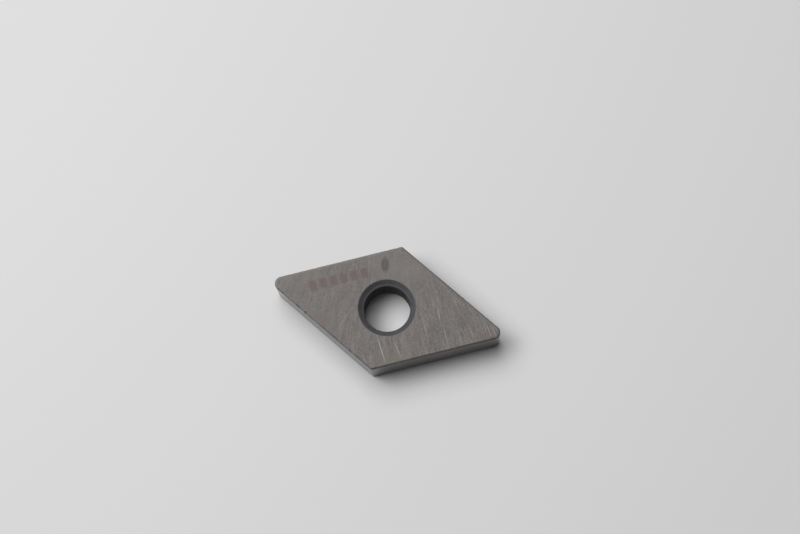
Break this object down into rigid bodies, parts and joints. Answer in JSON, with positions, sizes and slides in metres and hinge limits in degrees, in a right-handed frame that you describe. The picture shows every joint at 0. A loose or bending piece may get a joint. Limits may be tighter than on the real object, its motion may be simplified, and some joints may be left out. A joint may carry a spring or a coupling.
{
  "type": "indexable cutting insert",
  "caption": "Flat double-sided turning insert: a 55 degree diamond with rounded noses, a narrow edge land all round and a countersunk clamping bore.",
  "frame": {"origin": "on the bore's axis in the plane of the lower face", "axes": "+X along the long diagonal from nose to nose, +Y along the short diagonal, +Z along the bore's axis, up through the thickness"},
  "size_m": [0.0256, 0.0142, 0.0048],
  "materials": {
    "insert_body": "ground, dull sheen with fine scratches"
  },
  "bodies": {
    "root": {"insert_body": "insert_body"}
  },
  "joints": []
}
